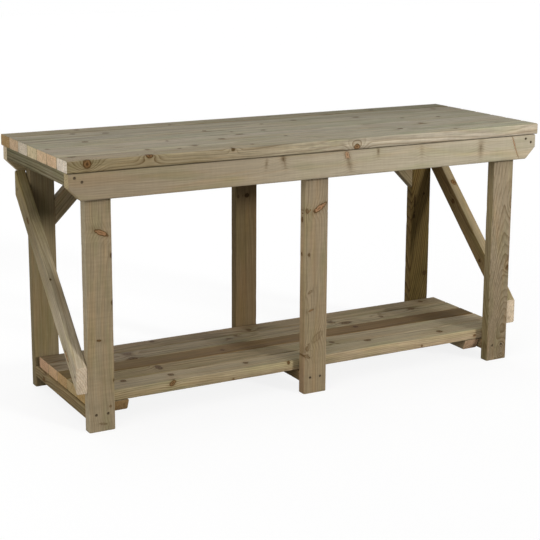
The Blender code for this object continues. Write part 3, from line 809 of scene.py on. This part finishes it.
TOP_TONE = "94866a"
GROWTHS = {
    # Top boards' upper faces are greyer than their edges: partly weathering, partly a painted sheen
    "top_board_1": grown("87795c bbb09d", "e6dac9", (-18, 20), (6, -4), figure=0.85, rings=8.0, streak=0.10,
                         upper="8d816b 9d9987", knots=[
        Knot(-836, LOW, 7, 14, 13, 0.42, 0, 1, -3.0), Knot(-630, LOW, 17, 12, 8, 0.35, 0, 1, 2.6),
        Knot(-340, LOW, 15, 7, 5, 0.0, 0, 1, 2.4), Knot(127, LOW, -10, 11, 9, 0.4, 0, 1, -3.0),
        Knot(-856, FACE, 34, 13, 11), Knot(-493, FACE, 33, 6, 6),
        Knot(-246, FACE, 4, 6, 6), Knot(560, FACE, -8, 8, 7)]),
    "top_board_2": grown(TOP_TONE, "d5b795", (-20, -60), figure=0.7, streak=0.12,
                         upper="928a77 938d7c", knots=[
        Knot(-592, FACE, -30, 7, 6), Knot(-425, FACE, -30, 8, 6), Knot(-58, FACE, 24, 6, 6),
        Knot(383, FACE, -14, 9, 9)]),
    "top_board_3": grown(TOP_TONE, "d3b896", (30, -55), (-5, 9), figure=0.7, streak=0.12,
                         upper="948a79 948e7e", knots=[
        Knot(-464, FACE, 9, 5, 6), Knot(-872, FACE, 26, 5, 6), Knot(-183, FACE, 34, 13, 8),
        Knot(-282, FACE, -28, 12, 7), Knot(525, FACE, -27, 10, 10, 0.3)]),
    "top_board_4": grown(TOP_TONE, "cfbf9c", (-60, -40), figure=0.6, streak=0.12,
                         upper="8a8471 8b8675", knots=[
        Knot(-711, FACE, 21, 10, 9), Knot(-65, FACE, -11, 8, 8), Knot(-182, FACE, 2, 5, 6),
        Knot(544, FACE, 28, 7, 7), Knot(686, FACE, -2, 8, 7)]),
    "top_board_5": grown(TOP_TONE, "cdc1ad", (10, -80), (3, -8), figure=0.7, streak=0.12,
                         upper="857e6d 898372", knots=[
        Knot(-255, FACE, -24, 7, 6), Knot(1, FACE, 33, 6, 6), Knot(399, FACE, 33, 11, 10)]),
    "top_board_6": grown(TOP_TONE, "c3a98a", (50, -50), figure=0.7, streak=0.12,
                         upper="847d6b 7f7969", knots=[
        Knot(-686, FACE, 21, 9, 9), Knot(-579, FACE, -11, 11, 9), Knot(151, FACE, -27, 11, 8),
        Knot(799, FACE, 5, 9, 10, 0.3)]),
    "top_board_7": grown(TOP_TONE, "a58a60", (-30, -70), figure=0.8, streak=0.12,
                         upper="80765f 6c6754", knots=[
        Knot(-640, FACE, 12, 8, 8), Knot(-300, FACE, -20, 7, 7), Knot(120, FACE, 18, 6, 6),
        Knot(560, FACE, -6, 10, 8), Knot(-120, HIGH, 4, 11, 9, 0.5), Knot(640, HIGH, -5, 8, 7, 0.4)]),
    "front_apron": grown("8a7c66 b3a892", "b1a07c", (150, -60), (2, 3), (3, 2, 1100), figure=0.3,
                         rings=7.0, knots=[
        Knot(-216, FACE, 24, 6, 18, 0.1, 0.1, 0.45, 0.5, 1),
        Knot(-154, FACE, 34, 10, 14, 0.05, 0, 0.85, 0.5, 1),
        Knot(-148, FACE, 18, 6, 18, 0.1, -0.2, 0.4, 0.5, 1),
        Knot(92, FACE, 28, 10, 15, 0.85, -0.25, 0.9, 0.5, 0.55),
        Knot(101, FACE, -2, 11, 26, 0.0, -0.3, 0.5, 0.5, 1),
        Knot(216, FACE, 33, 6, 14, 0.05, 0, 0.7, 0.5, 1),
        Knot(395, FACE, 20, 7, 26, 0.0, 0, 0.2, 0.5, 1),
        Knot(650, FACE, 12, 11, 34, 0.05, 0.05, 0.55, 0.5, 1),
        Knot(797, FACE, 24, 3.0, 20, 0.8, -0.4, 1, 0.5, 0.4),
        Knot(812, FACE, -16, 3.2, 20, 0.75, -0.45, 0.9, 0.5, 0.4)]),
    "rear_apron": grown("9a8b6f", "c6b69a", (-90, -70), figure=0.6, knots=[
        Knot(-520, FACE, 10, 14, 10, 0.5), Knot(-90, FACE, -18, 8, 6), Knot(330, FACE, 14, 16, 11, 0.6),
        Knot(700, FACE, -6, 9, 7)]),
    "left_end_rail": grown("857c63 6a654d", "b9a684", (-31, -120), (1, 2), (2, 1, 900), figure=1.7,
                           rings=10.0),
    "right_end_rail": grown("83775b", "b9a684", (-80, -30), figure=0.9, knots=[
        Knot(-120, FACE, -6, 8, 6)]),
    "middle_top_rail": grown("8b7c60", "c0a988", (30, -60), figure=0.8, knots=[
        Knot(70, FACE, 12, 10, 7, 0.5)]),
    "front_left_leg": grown("877961 8b7c63", "c9b493", (85, 70), (3, 5), figure=0.42, chatter=0.05,
                            edge="9f9279", knots=[
        Knot(224, FACE, 8, 9, 23, 0.85, -0.42, 0.95, 0.8), Knot(149, FACE, 41, 8, 4),
        Knot(-4, FACE, 41, 8, 4), Knot(-122, FACE, -7, 3.5, 8, 0.2, -0.1), Knot(-260, FACE, 42, 5, 3),
        Knot(-400, FACE, 3, 3.5, 13, 0.1, -0.2, 0.35), Knot(-345, FACE, 28, 4, 4, 0.3, 0, 0.6)]),
    "front_middle_leg": grown("89795f 90816a", "c9b493", (-75, 80), (4, -6), figure=0.48, chatter=0.03,
                              edge="957d60 bba889", knots=[
        Knot(227, FACE, 8, 11, 23, 1.0, 0.5, 0.95, 0.5), Knot(240, FACE, 30, 3.5, 14, 0.6, 0.7, 0.6),
        Knot(222, FACE, -39, 8, 5, 0.2, 0, 0.7), Knot(330, FACE, -22, 4, 4, 0.3, 0, 0.7),
        Knot(69, FACE, -30, 6, 5, 0.1, 0, 0.7), Knot(-62, FACE, -24, 5, 9, 0.2, 0.5, 0.35),
        Knot(-127, FACE, -20, 3, 10, 0.75, 0.3, 0.8), Knot(-225, FACE, 6, 14, 22, 0.2, 0.6, 0.12, 0.6),
        Knot(-262, FACE, -34, 9, 6, 0.2, 0, 0.5, 2.0), Knot(-291, FACE, -34, 5, 14, 0.2, -0.4, 0.5),
        Knot(188, LOW, 4, 9, 6, 0.1), Knot(69, LOW, 5, 6, 5, 0.1)]),
    "front_right_leg": grown("82735c 9c8d75", "c9b493", (24, 38), (4, 125), (6, 26, 1700), figure=0.9,
                             rings=5.5, edge="7d7051 9e8e6e", knots=[
        Knot(-72, FACE, 35, 8, 6, 0.25, 0, 1, 1.6), Knot(165, FACE, 40, 14, 6, 0.1, 0, 0.2, 1.2),
        Knot(-396, FACE, 21, 19, 8, 0.1, 0, 0.0, 3.6)]),
    # Rear legs: front and sides darker than the rear (upper) face, as painted shade under the top
    "rear_left_leg": grown("776a50", "c9b493", (-70, 60), upper="8d7f66", figure=0.4),
    "rear_middle_leg": grown("6b5a41", "c9b493", (60, 70), upper="93856b", figure=0.4, knots=[
        Knot(183, FACE, 2, 8, 9, 0.0), Knot(181, FACE, -34, 6, 5, 0.1, 0, 0.5)]),
    # Its darkness is partly striped heartwood, partly painted shade
    "rear_right_leg": grown("554726 6b5934", "c9b493", (150, 20), (200, 10), (6, 4, 500), figure=1.6,
                            rings=9.0, upper="897b60", edge="6f5c38 7a653c", knots=[
        Knot(118, FACE, 12, 5, 5, 0.0), Knot(92, FACE, -30, 26, 4, 0.0, 0, 0.8),
        Knot(30, FACE, -32, 8, 5, 0.0, 0, 0.8), Knot(-210, FACE, 26, 9, 8, 0.1, 0, 0.7)]),
    "left_bearer": grown("817152", "c09a75", (30, 60), figure=1.3, knots=[
        Knot(150, LOW, 3, 9, 7, 0.4)]),
    "middle_bearer": grown("6e5e42", "c09a75", (-40, 60), figure=0.9),
    "right_bearer": grown("75654a", "c09a75", (40, 60), figure=0.9),
    # Darker towards the head: partly a paler sawn foot, partly painted shadow of the top and apron
    "left_end_brace": grown("afa28c b0a38b 958970 7d7156 8c7d5a", "b8a892", (-60, -70), figure=0.7, knots=[
        Knot(223, FACE, 9, 12, 7, 0.5), Knot(-282, FACE, -13, 22, 6, 0.7, 0.2),
        Knot(-23, HIGH, -12, 4, 3, 0.0)]),
    "right_end_brace": grown("806c49", "cbb9a0", (50, 60), figure=0.7, edge="a39273", knots=[
        Knot(119, FACE, 3, 10, 8, 0.3), Knot(188, HIGH, 2, 12, 10, 0.5), Knot(-150, FACE, -10, 7, 6)]),
    "rear_left_knee_brace": grown("8b7d63", "c9b493", (60, 50), figure=0.8, knots=[
        Knot(-40, FACE, 8, 8, 7)]),
    "rear_right_knee_brace": grown("887a60", "c9b493", (-60, 50), figure=0.8, knots=[
        Knot(60, FACE, -6, 9, 6, 0.4)]),
    "shelf_board_1": grown("928568 af9b7f", "ae9263", (-60, -45), (5, 8), figure=0.9, streak=0.13,
                           upper="9a8d74 a69a7f", knots=[
        Knot(-514, FACE, 12, 10, 11), Knot(-679, FACE, 27, 10, 10), Knot(-235, FACE, 7, 9, 10),
        Knot(278, FACE, 33, 14, 14), Knot(573, FACE, -3, 11, 12), Knot(-533, LOW, 9, 10, 10, 0.34, 0.5, 0.95),
        Knot(-94, LOW, 12, 6, 6, 0.1), Knot(704, LOW, -4, 6, 5, 0.1), Knot(466, LOW, -10, 4, 4, 0.1),
        Knot(-308, LOW, -13, 4, 3, 0.3)]),
    "shelf_board_2": grown("8d7f66", "ac966d", (40, -50), (-8, 10), figure=1.0, streak=0.15,
                           upper="857555 a5987f", knots=[
        Knot(-518, FACE, 10, 10, 21, 0.1), Knot(150, FACE, -20, 9, 11)]),
    "shelf_board_3": grown("6f5c44", "b2946a", (-50, -50), (8, 4), figure=0.8, streak=0.14, edge="988061",
                           upper="655232 755f40 614e30", knots=[
        Knot(330, FACE, 14, 9, 10, 0.2), Knot(-240, FACE, -8, 7, 9, 0.2)]),
    "shelf_board_4": grown("887b64", "c0a07c", (20, -60), (6, -9), figure=1.0, streak=0.15,
                           upper="7f725d 988b6f", knots=[
        Knot(-556, FACE, -36, 16, 12), Knot(-555, FACE, 16, 13, 11, 0.2), Knot(-119, FACE, 38, 8, 9),
        Knot(-159, FACE, 10, 6, 8), Knot(277, FACE, 22, 10, 11), Knot(655, FACE, 29, 11, 12),
        Knot(492, FACE, -2, 8, 10), Knot(325, FACE, -15, 22, 13)]),
    "shelf_board_5": grown("83765e", "bc9a7b", (-30, -60), figure=0.9, streak=0.14,
                           upper="786851 8a7b60", knots=[
        Knot(-44, FACE, -16, 9, 10), Knot(749, FACE, 10, 8, 9), Knot(-420, FACE, 20, 8, 10)]),
    "left_shelf_batten": grown("908066", "8f744f", (30, 50), figure=0.8),
    "right_shelf_batten": grown("908066", "ad9176", (-30, 50), figure=0.8),
}


def timber_of(name):
    """Where a timber lies, by what kind of timber it is."""
    makers = {"apron": apron_timber, "batten": batten_timber, "end_brace": brace_timber, "knee": knee_timber}
    for part, maker in makers.items():
        if part in name:
            return maker(name)
    return straight_timber(name)


def timber_under(screw):
    """The timber that a screw's head sits in."""
    words = screw.split("_")
    if "apron" in words:
        return words[0] + "_apron"
    if "bearer" in words:
        return "_".join(words[:2]) + "_leg"
    if "knee" in words:
        return "_".join(words[:2]) + "_knee_brace"
    return words[0] + "_end_brace"


def hidden_screws():
    """Screws out of sight: legs to aprons, rails to top boards and battens to shelf boards, each as its
    group, the timber it is driven from and its place."""
    found = []
    for name in GROWTHS:
        low, high = np.array(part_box(name))
        middle = (low + high) / 2
        if name.endswith("_leg"):
            side = np.sign(middle[1])
            seat = middle[1] - side * ((high - low)[1] / 2 - SCREW_SINK)
            for step in (-1, 1):
                height = LEG_SCREW_HEIGHT + step * LEG_SCREW_RISE
                head = np.array([middle[0] + step * LEG_SCREW_SIDE, seat, height])
                found.append(("leg_to_apron_screws", name, (head, AXES[1] * side)))
        elif name.endswith("_rail"):
            for number in range(1, TOP_BOARDS + 1):
                board = np.mean(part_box(f"top_board_{number}"), 0)[1]
                y = np.clip(board, low[1] + RAIL_SCREW_MARGIN, high[1] - RAIL_SCREW_MARGIN)
                if abs(board - y) < RAIL_SCREW_REACH:
                    x = middle[0] + RAIL_SCREW_STAGGER * (-1) ** number
                    head = np.array([x, y, low[2] + SCREW_SINK])
                    found.append(("rail_to_top_screws", name, (head, AXES[2])))
        elif name.endswith("_batten"):
            for number in range(1, SHELF_BOARDS + 1):
                board = np.mean(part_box(f"shelf_board_{number}"), 0)[1]
                head = np.array([middle[0], board, low[2] + SCREW_SINK])
                found.append(("batten_to_shelf_screws", name, (head, AXES[2])))
    return found


def make_single_screws(driven, steel):
    """A piece for each screw among the nodes. Its place is noted under the timber that its head sits in."""
    for name in sorted(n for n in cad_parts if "_screw" in n):
        place = screw_place(name)
        driven.setdefault(timber_under(name), []).append(place)
        piece = add_piece("driven_" + name, *screw_solid(*place), steel)
        smooth(piece)
        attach(piece, "root")
        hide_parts(name)


def make_hidden_screws(driven, steel):
    """A piece for each group of screws out of sight, with their places noted in the same way."""
    groups = {}
    for group, timber_name, place in hidden_screws():
        driven.setdefault(timber_name, []).append(place)
        groups.setdefault(group, []).append(screw_solid(*place))
    for group, solids in groups.items():
        piece = add_piece(group, *joined(solids), steel)
        smooth(piece)
        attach(piece, "root")


def make_timbers(driven, wood):
    """A piece for each timber, with its growth and the holes of the screws that are driven from it."""
    for number, (name, growth) in enumerate(GROWTHS.items()):
        timber = timber_of(name)
        piece = board_surface("planed_" + name, timber, wood)
        if name in driven:
            cut_holes(piece, driven[name])
        add_growth(piece, timber, growth, number)
        smooth(piece)
        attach(piece, "root")
        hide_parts(name)


def make_bench():
    """The screws first, because their places say where the timbers have holes."""
    wood = [planed_softwood(), sawn_end_grain()]
    steel = [coated_screw_steel()]
    driven = {}
    make_single_screws(driven, steel)
    make_hidden_screws(driven, steel)
    make_timbers(driven, wood)


# Stage
def make_floor():
    """A white floor that shows the bench's soft shadow and otherwise runs into the white background."""
    half = FLOOR_SIZE / 2
    points = [(-half, -half, -FLOOR_DROP), (half, -half, -FLOOR_DROP), (half, half, -FLOOR_DROP),
              (-half, half, -FLOOR_DROP)]
    material, tree = new_material("white_studio_floor")
    seen = node(tree, "LightPath", out="Is Camera Ray")
    plain = node(tree, "BsdfDiffuse", {"Color": (FLOOR_BOUNCE, FLOOR_BOUNCE, FLOOR_BOUNCE, 1)})
    dim = node(tree, "BsdfDiffuse", {"Color": (FLOOR_SHADE, FLOOR_SHADE, FLOOR_SHADE, 1)})
    glow = node(tree, "Emission", {"Color": (1, 1, 1, 1), "Strength": FLOOR_GLOW})
    lit = node(tree, "AddShader", {0: dim, 1: glow})
    surface = node(tree, "MixShader", {0: seen, 1: plain, 2: lit})
    node(tree, "OutputMaterial", {"Surface": surface})
    add_piece("studio_floor", points, [(0, 1, 2, 3)], [material])


def make_light():
    """Even surroundings, white to the camera and in gloss, and four soft lamps: in front, at the left, above
    and behind."""
    world = bpy.data.worlds.new("white_studio")
    bpy.context.scene.world = world
    world.use_nodes = True
    tree = world.node_tree
    tree.nodes.clear()
    seen = node(tree, "LightPath", out="Is Camera Ray")
    for ray in ("Is Glossy Ray", "Is Transmission Ray"):
        also = node(tree, "LightPath", out=ray)
        seen = node(tree, "Math", {0: seen, 1: also}, operation="MAXIMUM")
    strength = node(tree, "Math", {0: seen, 1: 1 - AMBIENT, 2: AMBIENT}, operation="MULTIPLY_ADD")
    back = node(tree, "Background", {"Color": (1, 1, 1, 1), "Strength": strength})
    node(tree, "OutputWorld", {"Surface": back})
    for name, (irradiance, elevation, azimuth, spread) in LAMPS.items():
        lamp = bpy.data.lights.new(name, "SUN")
        lamp.energy = irradiance
        lamp.angle = math.radians(spread)
        holder = bpy.data.objects.new(name, lamp)
        holder.rotation_euler = (math.radians(90 - elevation), 0, math.radians(azimuth))
        bpy.context.scene.collection.objects.link(holder)


def make_camera():
    """The photograph's view: from the front left, a little above, through a long lens."""
    data = bpy.data.cameras.new("photo_camera")
    data.lens = CAMERA_LENS
    data.shift_y = CAMERA_SHIFT
    camera = bpy.data.objects.new("photo_camera", data)
    turn = (Matrix.Rotation(math.radians(-CAMERA_YAW), 4, "Z")
            @ Matrix.Rotation(math.radians(90 - CAMERA_PITCH), 4, "X")
            @ Matrix.Rotation(math.radians(CAMERA_ROLL), 4, "Z"))
    camera.matrix_world = Matrix.Translation(CAMERA_PLACE) @ turn
    bpy.context.scene.collection.objects.link(camera)
    bpy.context.scene.camera = camera


bpy.context.scene.view_settings.view_transform = "Standard"
make_bench()
make_floor()
make_light()
make_camera()
